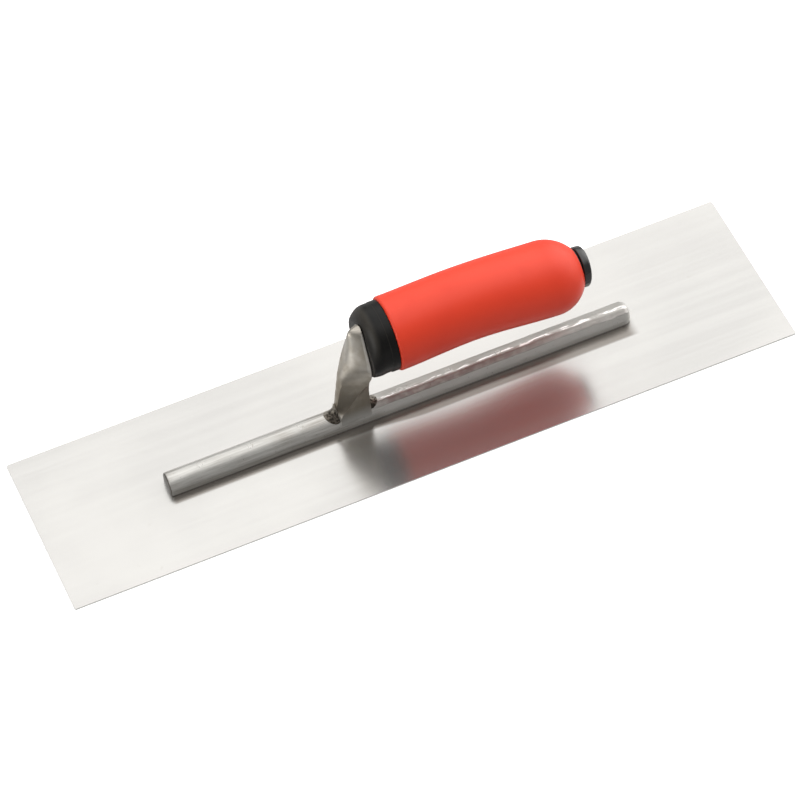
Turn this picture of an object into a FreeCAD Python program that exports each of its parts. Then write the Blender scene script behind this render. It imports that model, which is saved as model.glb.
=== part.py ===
"""Cement finishing trowel with a soft-grip handle, as separate pieces.

A long rectangular spring-steel blade is riveted under a D-section steel rib.
A forged shank is welded on top of the rib: it rises as a neck that widens into a
shoulder, then turns into a straight round tang. The handle slides onto the tang:
a black nose collar, a hard plastic core and a soft orange sleeve moulded over it.
A washer and a nut on the threaded end of the tang hold the handle against the
shoulder of the neck, and a push-in cap closes the nut's pocket.

Units are millimetres. The origin is the centre of the blade's working face.
+X runs along the blade towards the butt of the handle, +Z points up.
"""
import FreeCAD, Part
import math
import os

Vector = FreeCAD.Vector

# ---- Blade -------------------------------------------------------------------
BLADE_LENGTH = 406.4
BLADE_WIDTH = 101.6
BLADE_THICKNESS = 0.8
BLADE_CORNER_RADIUS = 1.2

# ---- Rib: a flat-sided bar with a half-round top ---------------------------------
RIB_LENGTH = 262.0
RIB_WIDTH = 12.7
RIB_SIDE_HEIGHT = 3.15
RIB_CENTRE_X = -1.5
RIB_FRONT_ROUNDING = 0.8
RIB_REAR_ROUNDING = 2.2

# ---- Rivets: countersunk in the blade, ground flush on the rib's arch ----------
RIVET_COUNT = 9
RIVET_DIAMETER = 4.0
RIVET_END_MARGIN = 18.8
COUNTERSINK_HALF_ANGLE = 45.0

# ---- Handle axis ---------------------------------------------------------------
# The handle arches gently: its section centres ride on two half-cosine waves that
# meet at the apex, level under the collar and level again at the cap.
APEX_X = 34.0
APEX_HEIGHT = 59.1
FRONT_DROP = 1.4
REAR_DROP = 5.2

# ---- Soft sleeve: its front lip stands proud of the collar ------------------------
SLEEVE_FRONT_X = -5.3
SLEEVE_LIP_STEP = 1.1
WAIST_X = 37.0
WAIST_RADIUS = 19.8
BULGE_X = 79.0
BULGE_RADIUS = 20.35
DOME_START_X = 84.0
DOME_LENGTH = 20.6
SLEEVE_WALL = 3.5
SLEEVE_LIP_ROUNDING = 1.3

# ---- End cap -------------------------------------------------------------------
CAP_RADIUS = 11.0
CAP_THICKNESS = 4.0
CAP_EDGE_ROUNDING = 0.9
CAP_SEAT_OVERLAP = 0.2
CAP_SPIGOT_LENGTH = 4.0
CAP_SPIGOT_WALL = 1.2

# ---- Nose collar ---------------------------------------------------------------
COLLAR_RADIUS = 19.1
COLLAR_LENGTH = 14.2
BAND_LENGTH = 6.2
COLLAR_WALL = 5.1
NOSE_WALL = 6.5
# The nose narrows to an oval front face that keeps its lower edge and loses its
# upper one: (share of the nose's length, half width, half height, drop of centre).
NOSE_SECTIONS = [
    (0.00, 1.000, 1.000, 0.00),
    (0.35, 0.997, 0.985, 0.28),
    (0.65, 0.985, 0.945, 1.05),
    (0.87, 0.960, 0.885, 2.15),
    (1.00, 0.925, 0.815, 3.45),
]

# ---- Core ----------------------------------------------------------------------
CORE_REAR_RADIUS = 9.6
NUT_POCKET_RADIUS = 7.2
NUT_POCKET_DEPTH = 13.6

# ---- Tang, washer and nut --------------------------------------------------------
TANG_DIAMETER = 8.0
TANG_CLEARANCE = 0.05
THREAD_DIAMETER = 6.0
THREAD_PAST_NUT = 1.5
WASHER_OUTER_DIAMETER = 12.0
WASHER_HOLE_DIAMETER = 6.4
WASHER_THICKNESS = 1.6
NUT_ACROSS_FLATS = 10.0
NUT_THICKNESS = 5.0

# ---- Neck ------------------------------------------------------------------------
# Level oval sections from the foot, sunk in the rib, to the crown in front of the
# collar: (share of the neck's height, front x, rear x, half width along y).
# They run past the shoulder, which trims them to a flat back.
NECK_FOOT_DEPTH = 3.5
NECK_CROWN_RISE = 7.4
NECK_SECTIONS = [
    (0.00, -38.8, -16.0, 5.4),
    (0.11, -38.2, -16.0, 5.2),
    (0.26, -37.0, -14.5, 5.9),
    (0.40, -35.9, -12.0, 7.7),
    (0.53, -34.4, -8.0, 10.4),
    (0.65, -32.6, -7.0, 12.5),
    (0.77, -30.6, -7.0, 13.3),
    (0.87, -28.6, -7.5, 12.3),
    (0.94, -27.0, -9.5, 9.7),
    (0.98, -25.6, -12.0, 6.4),
    (1.00, -24.2, -14.0, 3.8),
]

# ---- Welds at the two toes of the neck's foot ---------------------------------------
# (height above the rib's top, half length, half width) of each bead's level sections
WELD_FRONT_X = -37.6
WELD_FRONT_SECTIONS = [(-3.0, 7.6, 5.4), (-0.4, 6.2, 4.8), (2.6, 3.6, 3.3), (6.2, 1.6, 1.7)]
WELD_REAR_X = -20.0
WELD_REAR_SECTIONS = [(-3.0, 6.4, 5.2), (-0.4, 5.2, 4.5), (1.8, 3.0, 3.0), (4.4, 1.4, 1.5)]

# ---- Worked out from the above --------------------------------------------------------
RIB_BASE = BLADE_THICKNESS
RIB_TOP = RIB_BASE + RIB_SIDE_HEIGHT + RIB_WIDTH / 2
RIVET_RADIUS = RIVET_DIAMETER / 2
COLLAR_HEIGHT = APEX_HEIGHT - FRONT_DROP
CORE_SPIGOT_RADIUS = COLLAR_RADIUS - COLLAR_WALL
SLEEVE_FRONT_RADIUS = COLLAR_RADIUS + SLEEVE_LIP_STEP
SHOULDER_X = SLEEVE_FRONT_X - COLLAR_LENGTH
BAND_FRONT_X = SLEEVE_FRONT_X - BAND_LENGTH
CORE_FRONT_X = SHOULDER_X + NOSE_WALL
CAP_SEAT_RADIUS = CAP_RADIUS + CAP_SEAT_OVERLAP
CAP_SEAT_X = DOME_START_X + DOME_LENGTH * math.sqrt(1 - (CAP_SEAT_RADIUS / BULGE_RADIUS) ** 2)
CAP_SEAT_HEIGHT = APEX_HEIGHT - REAR_DROP
TANG_ORIGIN = Vector(SHOULDER_X, 0, COLLAR_HEIGHT)
CAP_SEAT = Vector(CAP_SEAT_X, 0, CAP_SEAT_HEIGHT)
TANG_AXIS = (CAP_SEAT - TANG_ORIGIN).normalize()
SEAT_DISTANCE = (CAP_SEAT - TANG_ORIGIN).Length
POCKET_FLOOR = SEAT_DISTANCE - NUT_POCKET_DEPTH
THREAD_END = POCKET_FLOOR + WASHER_THICKNESS + NUT_THICKNESS + THREAD_PAST_NUT
LARGE = 4 * BLADE_LENGTH


def half_cosine(share):
    """Eases from 0 to 1 as share goes from 0 to 1, and stays at each end."""
    share = min(max(share, 0.0), 1.0)
    return (1 - math.cos(math.pi * share)) / 2


def axis_height(x):
    """Height of the handle's section centre at x."""
    if x < APEX_X:
        return APEX_HEIGHT - FRONT_DROP * half_cosine((APEX_X - x) / (APEX_X - SLEEVE_FRONT_X))
    return APEX_HEIGHT - REAR_DROP * half_cosine((x - APEX_X) / (CAP_SEAT_X - APEX_X))


def sleeve_radius(x):
    """Outer radius of the soft sleeve at x, ahead of the dome."""
    if x < WAIST_X:
        swell = SLEEVE_FRONT_RADIUS - WAIST_RADIUS
        return WAIST_RADIUS + swell * half_cosine((WAIST_X - x) / (WAIST_X - SLEEVE_FRONT_X))
    swell = BULGE_RADIUS - WAIST_RADIUS
    return WAIST_RADIUS + swell * half_cosine((x - WAIST_X) / (BULGE_X - WAIST_X))


def upright_circle(x, radius, height):
    """A circle in the plane at x, facing along X."""
    return Part.Wire(Part.Circle(Vector(x, 0, height), Vector(1, 0, 0), radius).toShape())


def oval(centre, first, second):
    """A closed smooth curve round centre with half axes first and second, as vectors."""
    steps = 24
    points = []
    for i in range(steps):
        turn = 2 * math.pi * i / steps
        points.append(centre + first * math.cos(turn) + second * math.sin(turn))
    curve = Part.BSplineCurve()
    curve.interpolate(Points=points, PeriodicFlag=True)
    return Part.Wire(curve.toShape())


def level_oval(x, height, half_length, half_width):
    return oval(Vector(x, 0, height), Vector(half_length, 0, 0), Vector(0, half_width, 0))


def loft(wires, ruled=False):
    return Part.makeLoft(wires, True, ruled)


def cylinder_on_tang(start, end, radius):
    """A cylinder on the tang's axis, between two distances from the shoulder."""
    return Part.makeCylinder(radius, end - start, TANG_ORIGIN + TANG_AXIS * start, TANG_AXIS)


def behind_cap_seat():
    """Everything past the plane that the cap rests on."""
    return cylinder_on_tang(SEAT_DISTANCE, SEAT_DISTANCE + LARGE, LARGE)


def rivet_places():
    first = RIB_CENTRE_X - RIB_LENGTH / 2 + RIVET_END_MARGIN
    last = RIB_CENTRE_X + RIB_LENGTH / 2 - RIVET_END_MARGIN
    step = (last - first) / (RIVET_COUNT - 1)
    return [first + i * step for i in range(RIVET_COUNT)]


def rivet_head(x):
    """The countersunk head, as deep as the blade is thick."""
    flare = BLADE_THICKNESS * math.tan(math.radians(COUNTERSINK_HALF_ANGLE))
    return Part.makeCone(RIVET_RADIUS + flare, RIVET_RADIUS, BLADE_THICKNESS, Vector(x, 0, 0))


def rivet_shank(x):
    return Part.makeCylinder(RIVET_RADIUS, RIB_TOP, Vector(x, 0, RIB_BASE))


def make_blade():
    corner = Vector(-BLADE_LENGTH / 2, -BLADE_WIDTH / 2, 0)
    plate = Part.makeBox(BLADE_LENGTH, BLADE_WIDTH, BLADE_THICKNESS, corner)
    upright = [e for e in plate.Edges if abs(e.Vertexes[0].Z - e.Vertexes[1].Z) > BLADE_THICKNESS / 2]
    plate = plate.makeFillet(BLADE_CORNER_RADIUS, upright)
    return plate.cut([rivet_head(x) for x in rivet_places()])


def rib_envelope():
    """The rib before it is drilled: a round-topped section run along X, its rear end rounded over."""
    end_x = RIB_CENTRE_X - RIB_LENGTH / 2
    half = RIB_WIDTH / 2
    side_top = RIB_BASE + RIB_SIDE_HEIGHT
    near_foot = Vector(end_x, -half, RIB_BASE)
    near_top = Vector(end_x, -half, side_top)
    crown = Vector(end_x, 0, RIB_TOP)
    far_top = Vector(end_x, half, side_top)
    far_foot = Vector(end_x, half, RIB_BASE)
    section = Part.Wire([
        Part.makeLine(near_foot, near_top),
        Part.Arc(near_top, crown, far_top).toShape(),
        Part.makeLine(far_top, far_foot),
        Part.makeLine(far_foot, near_foot),
    ])
    bar = Part.Face(section).extrude(Vector(RIB_LENGTH, 0, 0))
    upper = [e for e in bar.Edges if e.BoundBox.XLength < RIB_FRONT_ROUNDING and e.BoundBox.ZLength > 1]
    bar = bar.makeFillet(RIB_FRONT_ROUNDING, [e for e in upper if e.CenterOfMass.x < RIB_CENTRE_X])
    upper = [e for e in bar.Edges if e.BoundBox.XLength < RIB_FRONT_ROUNDING and e.BoundBox.ZLength > 1]
    return bar.makeFillet(RIB_REAR_ROUNDING, [e for e in upper if e.CenterOfMass.x > RIB_CENTRE_X])


def make_rib(envelope):
    return envelope.cut([rivet_shank(x) for x in rivet_places()])


def make_rivets(envelope):
    """One solid per rivet, its tail ground down to the rib's arch."""
    return Part.makeCompound([rivet_head(x).fuse(rivet_shank(x).common(envelope)) for x in rivet_places()])


def neck_blank():
    """The neck, before its foot is fitted to the rib and its back to the collar."""
    foot = RIB_TOP - NECK_FOOT_DEPTH
    crown = COLLAR_HEIGHT + NECK_CROWN_RISE
    return loft([
        level_oval((front + rear) / 2, foot + share * (crown - foot), (rear - front) / 2, half_width)
        for share, front, rear, half_width in NECK_SECTIONS
    ])


def make_shank(envelope):
    """Neck and tang are one forging; its foot is fitted to the rib's arch."""
    ahead = Part.makeBox(LARGE, LARGE, LARGE, Vector(SHOULDER_X - LARGE, -LARGE / 2, -LARGE / 2))
    body = neck_blank().common(ahead).cut(envelope)
    tang_root = -2 * TANG_DIAMETER / 3
    tang = cylinder_on_tang(tang_root, POCKET_FLOOR, TANG_DIAMETER / 2)
    thread = cylinder_on_tang(POCKET_FLOOR, THREAD_END, THREAD_DIAMETER / 2)
    return body.fuse([tang, thread]).removeSplitter()


def make_weld(x, sections):
    """A bead at one toe of the foot: a concave mound, less the rib and the neck it joins."""
    mound = loft([level_oval(x, RIB_TOP + rise, length, width) for rise, length, width in sections])
    return mound.cut(neck_blank()).cut(rib_envelope())


def collar_section(x, width_share=1.0, height_share=1.0, drop=0.0):
    """The collar's outline at x: the full round, or an oval with its centre dropped."""
    centre = Vector(x, 0, COLLAR_HEIGHT - drop)
    return oval(centre, Vector(0, COLLAR_RADIUS * width_share, 0), Vector(0, 0, COLLAR_RADIUS * height_share))


def make_collar():
    """A parallel band next to the sleeve and the nose ahead of it, bored for core and tang."""
    band = loft([collar_section(SLEEVE_FRONT_X), collar_section(BAND_FRONT_X)], ruled=True)
    length = BAND_FRONT_X - SHOULDER_X
    nose = loft([
        collar_section(BAND_FRONT_X - share * length, width_share, height_share, drop)
        for share, width_share, height_share, drop in NOSE_SECTIONS
    ])
    socket_length = SLEEVE_FRONT_X - CORE_FRONT_X
    socket = Part.makeCylinder(
        CORE_SPIGOT_RADIUS, socket_length, Vector(CORE_FRONT_X, 0, COLLAR_HEIGHT), Vector(1, 0, 0))
    bore = cylinder_on_tang(-COLLAR_LENGTH, 2 * COLLAR_LENGTH, TANG_DIAMETER / 2 + TANG_CLEARANCE)
    return nose.cut(bore).cut(socket).fuse(band.cut(socket))


def core_envelope():
    """The core's outside under the sleeve: an arched body, then a straight taper to the cap."""
    stations = 9
    step = (DOME_START_X - SLEEVE_FRONT_X) / (stations - 1)
    places = [SLEEVE_FRONT_X + i * step for i in range(stations)]
    body = loft([upright_circle(x, sleeve_radius(x) - SLEEVE_WALL, axis_height(x)) for x in places])
    past_seat = CAP_SEAT_X + CAP_THICKNESS
    taper = loft([
        upright_circle(DOME_START_X, sleeve_radius(DOME_START_X) - SLEEVE_WALL, axis_height(DOME_START_X)),
        upright_circle(past_seat, CORE_REAR_RADIUS, axis_height(past_seat)),
    ], ruled=True)
    return body.fuse(taper).cut(behind_cap_seat())


def make_core(envelope):
    spigot = Part.makeCylinder(CORE_SPIGOT_RADIUS, SLEEVE_FRONT_X - CORE_FRONT_X,
                               Vector(CORE_FRONT_X, 0, COLLAR_HEIGHT), Vector(1, 0, 0))
    bore = cylinder_on_tang(0, SEAT_DISTANCE, TANG_DIAMETER / 2 + TANG_CLEARANCE)
    pocket = cylinder_on_tang(POCKET_FLOOR, SEAT_DISTANCE + CAP_THICKNESS, NUT_POCKET_RADIUS)
    return envelope.fuse(spigot).removeSplitter().cut([bore, pocket])


def make_sleeve(core):
    """The arched grip and its domed butt, hollowed by the core it is moulded over."""
    stations = 9
    step = (DOME_START_X - SLEEVE_FRONT_X) / (stations - 1)
    sections = []
    for i in range(stations):
        x = SLEEVE_FRONT_X + i * step
        sections.append(upright_circle(x, sleeve_radius(x), axis_height(x)))
    dome_turns = 6
    last_turn = math.asin((CAP_SEAT_X + 0.5 - DOME_START_X) / DOME_LENGTH)
    for i in range(1, dome_turns + 1):
        turn = last_turn * i / dome_turns
        x = DOME_START_X + DOME_LENGTH * math.sin(turn)
        sections.append(upright_circle(x, BULGE_RADIUS * math.cos(turn), axis_height(x)))
    outside = loft(sections)
    lip = [e for e in outside.Edges if e.BoundBox.XMax < SLEEVE_FRONT_X + 0.01]
    outside = outside.makeFillet(SLEEVE_LIP_ROUNDING, lip)
    return outside.cut(behind_cap_seat()).cut(core)


def make_washer():
    start = POCKET_FLOOR
    end = start + WASHER_THICKNESS
    disc = cylinder_on_tang(start, end, WASHER_OUTER_DIAMETER / 2)
    return disc.cut(cylinder_on_tang(start, end, WASHER_HOLE_DIAMETER / 2))


def make_nut():
    """A hexagon with its corners turned off on both faces."""
    start = POCKET_FLOOR + WASHER_THICKNESS
    end = start + NUT_THICKNESS
    corner_radius = NUT_ACROSS_FLATS / math.sqrt(3)
    across = Vector(0, 1, 0)
    up = TANG_AXIS.cross(across)
    centre = TANG_ORIGIN + TANG_AXIS * start
    corners = []
    for i in range(6):
        turn = math.radians(60 * i)
        corners.append(centre + across * corner_radius * math.cos(turn) + up * corner_radius * math.sin(turn))
    hexagon = Part.Face(Part.makePolygon(corners + corners[:1])).extrude(TANG_AXIS * NUT_THICKNESS)
    bevel = (corner_radius - NUT_ACROSS_FLATS / 2) * 1.2
    reach = NUT_ACROSS_FLATS / 2 + NUT_THICKNESS
    front_cone = Part.makeCone(corner_radius - bevel, corner_radius - bevel + reach * 2, reach, centre, TANG_AXIS)
    back = centre + TANG_AXIS * NUT_THICKNESS
    back_cone = Part.makeCone(corner_radius - bevel, corner_radius - bevel + reach * 2, reach, back, TANG_AXIS * -1)
    hole = cylinder_on_tang(start, end, THREAD_DIAMETER / 2)
    return hexagon.common(front_cone).common(back_cone).cut(hole)


def make_cap():
    """A flat button over the pocket, with a hollow spigot that presses into it."""
    button = cylinder_on_tang(SEAT_DISTANCE, SEAT_DISTANCE + CAP_THICKNESS, CAP_RADIUS)
    outer = TANG_ORIGIN + TANG_AXIS * (SEAT_DISTANCE + CAP_THICKNESS)
    rim = [e for e in button.Edges if (e.CenterOfMass - outer).Length < 0.01]
    button = button.makeFillet(CAP_EDGE_ROUNDING, rim)
    start = SEAT_DISTANCE - CAP_SPIGOT_LENGTH
    spigot = cylinder_on_tang(start, SEAT_DISTANCE, NUT_POCKET_RADIUS)
    hollow = cylinder_on_tang(start, SEAT_DISTANCE, NUT_POCKET_RADIUS - CAP_SPIGOT_WALL)
    return button.fuse(spigot.cut(hollow))


def build():
    rib_blank = rib_envelope()
    core_blank = core_envelope()
    core = make_core(core_blank)
    return {
        "blade": make_blade(),
        "rib": make_rib(rib_blank),
        "blade_rivets": make_rivets(rib_blank),
        "shank": make_shank(rib_blank),
        "weld_front": make_weld(WELD_FRONT_X, WELD_FRONT_SECTIONS),
        "weld_rear": make_weld(WELD_REAR_X, WELD_REAR_SECTIONS),
        "nose_collar": make_collar(),
        "handle_core": core,
        "grip_sleeve": make_sleeve(core_blank),
        "tang_washer": make_washer(),
        "tang_nut": make_nut(),
        "end_cap": make_cap(),
    }


os.makedirs("parts", exist_ok=True)
for name, shape in build().items():
    if not shape.isValid() or not shape.Solids:
        raise ValueError(name + " is not a valid solid")
    shape.exportStep("parts/" + name + ".step")
    print(f"{name:14s} solids {len(shape.Solids)}  volume {shape.Volume:10.1f} mm3")
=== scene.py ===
# %% [markdown]
# # A finishing trowel for wet concrete
# The tool is a thin spring-steel blade, riveted under a steel rib. A forged neck is
# welded to the rib and turns back into a tang, and the soft handle slides onto it.
# The exact solids were drawn in CAD. This lesson loads them as a fixed frame, then
# gives the visible pieces other than the flat blade the shape of their last few tenths
# of a millimetre, and every visible piece a finish: grinding marks, weld scale, moulded
# rubber and glossy plastic.

# %% Load the fixed frame
import math
import bpy
from mathutils import Matrix, Vector, noise


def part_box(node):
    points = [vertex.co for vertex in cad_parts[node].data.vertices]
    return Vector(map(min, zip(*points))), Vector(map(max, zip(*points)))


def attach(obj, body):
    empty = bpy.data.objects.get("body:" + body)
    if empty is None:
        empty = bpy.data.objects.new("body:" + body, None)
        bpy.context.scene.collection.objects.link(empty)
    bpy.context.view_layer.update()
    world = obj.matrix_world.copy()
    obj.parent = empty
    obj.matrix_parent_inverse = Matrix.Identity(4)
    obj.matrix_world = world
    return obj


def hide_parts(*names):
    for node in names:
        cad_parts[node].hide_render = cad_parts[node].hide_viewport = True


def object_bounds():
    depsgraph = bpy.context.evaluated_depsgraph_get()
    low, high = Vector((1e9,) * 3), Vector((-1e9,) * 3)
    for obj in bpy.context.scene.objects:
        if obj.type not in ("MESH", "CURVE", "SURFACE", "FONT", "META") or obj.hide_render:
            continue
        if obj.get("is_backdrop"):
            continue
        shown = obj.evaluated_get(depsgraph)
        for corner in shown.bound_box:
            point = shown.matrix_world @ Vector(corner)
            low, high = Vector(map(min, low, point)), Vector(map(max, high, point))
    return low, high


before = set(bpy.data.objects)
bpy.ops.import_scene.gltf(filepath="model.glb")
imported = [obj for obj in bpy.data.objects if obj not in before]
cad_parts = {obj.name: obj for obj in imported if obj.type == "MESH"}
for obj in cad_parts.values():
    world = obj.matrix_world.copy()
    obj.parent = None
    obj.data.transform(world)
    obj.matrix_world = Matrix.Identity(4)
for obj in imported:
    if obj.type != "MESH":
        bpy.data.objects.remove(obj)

MM = 0.001
CAD_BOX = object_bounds()
scene = bpy.context.scene
print("CAD nodes:", sorted(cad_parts))

# %% [markdown]
# ## The camera
# A long lens from far away keeps the blade's long edges nearly parallel, as in a
# maker's catalogue. The camera looks at the middle of the blade from above and from
# the left of its long side, and leans a little, so the blade climbs to the right.
# Three directions at right angles make its rotation: right, up and backwards.

# %% Camera
AZIMUTH, ELEVATION, LEAN = math.radians(-18.888), math.radians(51.764), math.radians(-5.708)
CAMERA_DISTANCE = 2.302
LENS_MM = 198.4
SENSOR_MM = 36.0
AIM = Vector((-1.446, 0.723, 0.0)) * MM

backward = Vector((
    math.sin(AZIMUTH) * math.cos(ELEVATION),
    -math.cos(AZIMUTH) * math.cos(ELEVATION),
    math.sin(ELEVATION),
))
level_right = (-backward).cross(Vector((0, 0, 1))).normalized()
level_up = level_right.cross(-backward)
camera_right = math.cos(LEAN) * level_right + math.sin(LEAN) * level_up
camera_up = math.cos(LEAN) * level_up - math.sin(LEAN) * level_right
camera = bpy.data.objects.new("camera", bpy.data.cameras.new("camera"))
scene.collection.objects.link(camera)
turn = Matrix((camera_right, camera_up, backward)).transposed().to_4x4()
camera.matrix_world = Matrix.Translation(AIM + backward * CAMERA_DISTANCE) @ turn
camera.data.sensor_width = SENSOR_MM
camera.data.lens = LENS_MM
scene.camera = camera
print("camera stands at", [round(v, 3) for v in camera.matrix_world.translation])

# %% [markdown]
# ## Small helpers for shader nodes
# Every finish below is a graph of nodes. `add` makes one node, sets its options and
# plugs in its inputs: a socket is linked, and a plain value is typed in. A finish
# starts from `new_finish`, which sets the numbers that are the same all over the
# surface on the shader's own sockets, and ends with `plug`, which feeds in the rest.

# %% Node helpers
def add(tree, kind, inputs=None, **options):
    made = tree.nodes.new(kind)
    for option, value in options.items():
        setattr(made, option, value)
    for key, value in (inputs or {}).items():
        if isinstance(value, bpy.types.NodeSocket):
            tree.links.new(value, made.inputs[key])
        else:
            made.inputs[key].default_value = value
    return made


def math_node(tree, operation, first, second=0.0):
    return add(tree, "ShaderNodeMath", {0: first, 1: second}, operation=operation).outputs[0]


def times(tree, *shares):
    """Masks multiplied together."""
    product = shares[0]
    for share in shares[1:]:
        product = math_node(tree, "MULTIPLY", product, share)
    return product


def blend(tree, share, first, second):
    """Mix two colours by a mask between 0 and 1. Sockets 6, 7 and 2 are the colour ones."""
    colours = {0: share, 6: first, 7: second}
    return add(tree, "ShaderNodeMix", colours, data_type="RGBA").outputs[2]


def remap(tree, value, low, high, to_low=0.0, to_high=1.0):
    """Goes smoothly to to_high as the value goes from low to high."""
    inputs = {0: value, 1: low, 2: high, 3: to_low, 4: to_high}
    return add(tree, "ShaderNodeMapRange", inputs, interpolation_type="SMOOTHSTEP").outputs[0]


def new_finish(name, **plain):
    """A material with a Principled shader, and its tree and shader to work on."""
    material = bpy.data.materials.new(name)
    material.use_nodes = True
    shader = material.node_tree.nodes["Principled BSDF"]
    for socket, value in plain.items():
        shader.inputs[socket.replace("_", " ")].default_value = value
    return material, material.node_tree, shader


def plug(tree, shader, colour, roughness, height, depth_mm):
    """Feed the shader's colour and roughness, and a bump of the given depth."""
    tree.links.new(colour, shader.inputs["Base Color"])
    tree.links.new(roughness, shader.inputs["Roughness"])
    bump = add(tree, "ShaderNodeBump", {"Height": height, "Distance": depth_mm * MM, "Strength": 1.0})
    tree.links.new(bump.outputs["Normal"], shader.inputs["Normal"])


print("node helpers ready")

# %% [markdown]
# ## Masks by place and by direction
# Dirt, wear and painted light and shade depend on where a spot is and on which way it
# faces: a foot gets sooty, and a top that faces up gets painted paler or darker. The tool's
# own coordinates give the place in metres and the surface normal gives the direction, so
# a mask is one of those numbers, faded between two values. It could be painted by hand
# instead, but a formula is easier to move.

# %% Masks
def place(tree, axis=None):
    """The point's own place in metres, or one coordinate of it."""
    where = add(tree, "ShaderNodeTexCoord").outputs["Object"]
    return where if axis is None else add(tree, "ShaderNodeSeparateXYZ", {0: where}).outputs[axis]


def surface_normal(tree, axis):
    """One part of the direction that the surface faces, in the tool's own frame."""
    faces = add(tree, "ShaderNodeTexCoord").outputs["Normal"]
    return add(tree, "ShaderNodeSeparateXYZ", {0: faces}).outputs[axis]


def zone(tree, axis, start_mm, end_mm, at_start=0.0, at_end=1.0):
    """Fades from one value to another between two places along an axis."""
    return remap(tree, place(tree, axis), start_mm * MM, end_mm * MM, at_start, at_end)


def facing(tree, axis, start, end, at_start=0.0, at_end=1.0):
    """Fades as the surface turns: 1 faces along the axis, and -1 faces against it."""
    return remap(tree, surface_normal(tree, axis), start, end, at_start, at_end)


def closeness(tree, centre_mm, far_mm, close_mm):
    """A mask that is 1 near a point of the tool and fades to 0 away from it."""
    centre = tuple(Vector(centre_mm) * MM)
    gap = add(tree, "ShaderNodeVectorMath", {0: place(tree), 1: centre}, operation="DISTANCE")
    return remap(tree, gap.outputs["Value"], close_mm * MM, far_mm * MM, 1.0, 0.0)


print("masks ready")

# %% [markdown]
# ## Effects that several finishes share
# Grain, stains and worn edges turn up on the blade, the rib, the neck and the plastic
# alike. Each is a node *group*: a small graph with named sockets, built once and
# placed in each material with its own values. *Grain* is noise stretched along one
# direction, which is what a grinding belt leaves, or not stretched at all, which is
# the fine pebble of moulded rubber. *Stains* are soft patches. *Edge wear* reads how
# sharply the mesh bends, so it finds the corners that hands and grit polish.

# %% Shared node groups
CLOUD_DETAIL = 5.0
CHIPS_PER_METRE, CHIP_DETAIL = 420.0, 3.0


def new_group(name, inputs, output):
    """A group with named inputs, each a number or a vector, and one output."""
    group = bpy.data.node_groups.new(name, "ShaderNodeTree")
    for label, value in inputs.items():
        kind = "NodeSocketVector" if isinstance(value, tuple) else "NodeSocketFloat"
        socket = group.interface.new_socket(name=label, in_out="INPUT", socket_type=kind)
        socket.default_value = value
    group.interface.new_socket(name=output, in_out="OUTPUT", socket_type="NodeSocketFloat")
    return group, group.nodes.new("NodeGroupInput"), group.nodes.new("NodeGroupOutput")


def grain_group():
    inputs = {"Lines per metre": (100.0, 100.0, 100.0), "Detail": 4.0, "Contrast": 1.0}
    group, given, result = new_group("grain", inputs, "Value")
    stretch = {0: place(group), 1: given.outputs["Lines per metre"]}
    spread = add(group, "ShaderNodeVectorMath", stretch, operation="MULTIPLY")
    speck = add(group, "ShaderNodeTexNoise",
                {"Vector": spread.outputs[0], "Detail": given.outputs["Detail"], "Scale": 1.0})
    centred = math_node(group, "SUBTRACT", speck.outputs["Fac"], 0.5)
    stronger = times(group, centred, given.outputs["Contrast"])
    group.links.new(math_node(group, "ADD", stronger, 0.5), result.inputs["Value"])
    return group


def stains_group():
    inputs = {"Patches per metre": 30.0, "Cover": 0.5, "Softness": 0.1}
    group, given, result = new_group("stains", inputs, "Mask")
    spots = {"Vector": place(group), "Scale": given.outputs["Patches per metre"], "Detail": CLOUD_DETAIL}
    cloud = add(group, "ShaderNodeTexNoise", spots)
    level = math_node(group, "SUBTRACT", 1.0, given.outputs["Cover"])
    low = math_node(group, "SUBTRACT", level, given.outputs["Softness"])
    high = math_node(group, "ADD", level, given.outputs["Softness"])
    group.links.new(remap(group, cloud.outputs["Fac"], low, high), result.inputs["Mask"])
    return group


def edge_wear_group():
    group, given, result = new_group("edge wear", {"Start": 0.52, "Full": 0.6, "Breakup": 0.5}, "Mask")
    bend = add(group, "ShaderNodeNewGeometry").outputs["Pointiness"]
    corner = remap(group, bend, given.outputs["Start"], given.outputs["Full"])
    chips = add(group, "ShaderNodeTexNoise",
                {"Vector": place(group), "Scale": CHIPS_PER_METRE, "Detail": CHIP_DETAIL})
    gaps = times(group, chips.outputs["Fac"], given.outputs["Breakup"])
    left = math_node(group, "SUBTRACT", 1.0, gaps)
    group.links.new(times(group, corner, left), result.inputs["Mask"])
    return group


GRAIN, STAINS, EDGE_WEAR = grain_group(), stains_group(), edge_wear_group()


def grain(tree, lines, detail, contrast=1.0):
    values = {"Lines per metre": lines, "Detail": detail, "Contrast": contrast}
    return add(tree, "ShaderNodeGroup", values, node_tree=GRAIN).outputs["Value"]


def stains(tree, patches, cover, softness):
    values = {"Patches per metre": patches, "Cover": cover, "Softness": softness}
    return add(tree, "ShaderNodeGroup", values, node_tree=STAINS).outputs["Mask"]


def edge_wear(tree, start, full, breakup):
    values = {"Start": start, "Full": full, "Breakup": breakup}
    return add(tree, "ShaderNodeGroup", values, node_tree=EDGE_WEAR).outputs["Mask"]


print("groups:", [group.name for group in (GRAIN, STAINS, EDGE_WEAR)])
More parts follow.
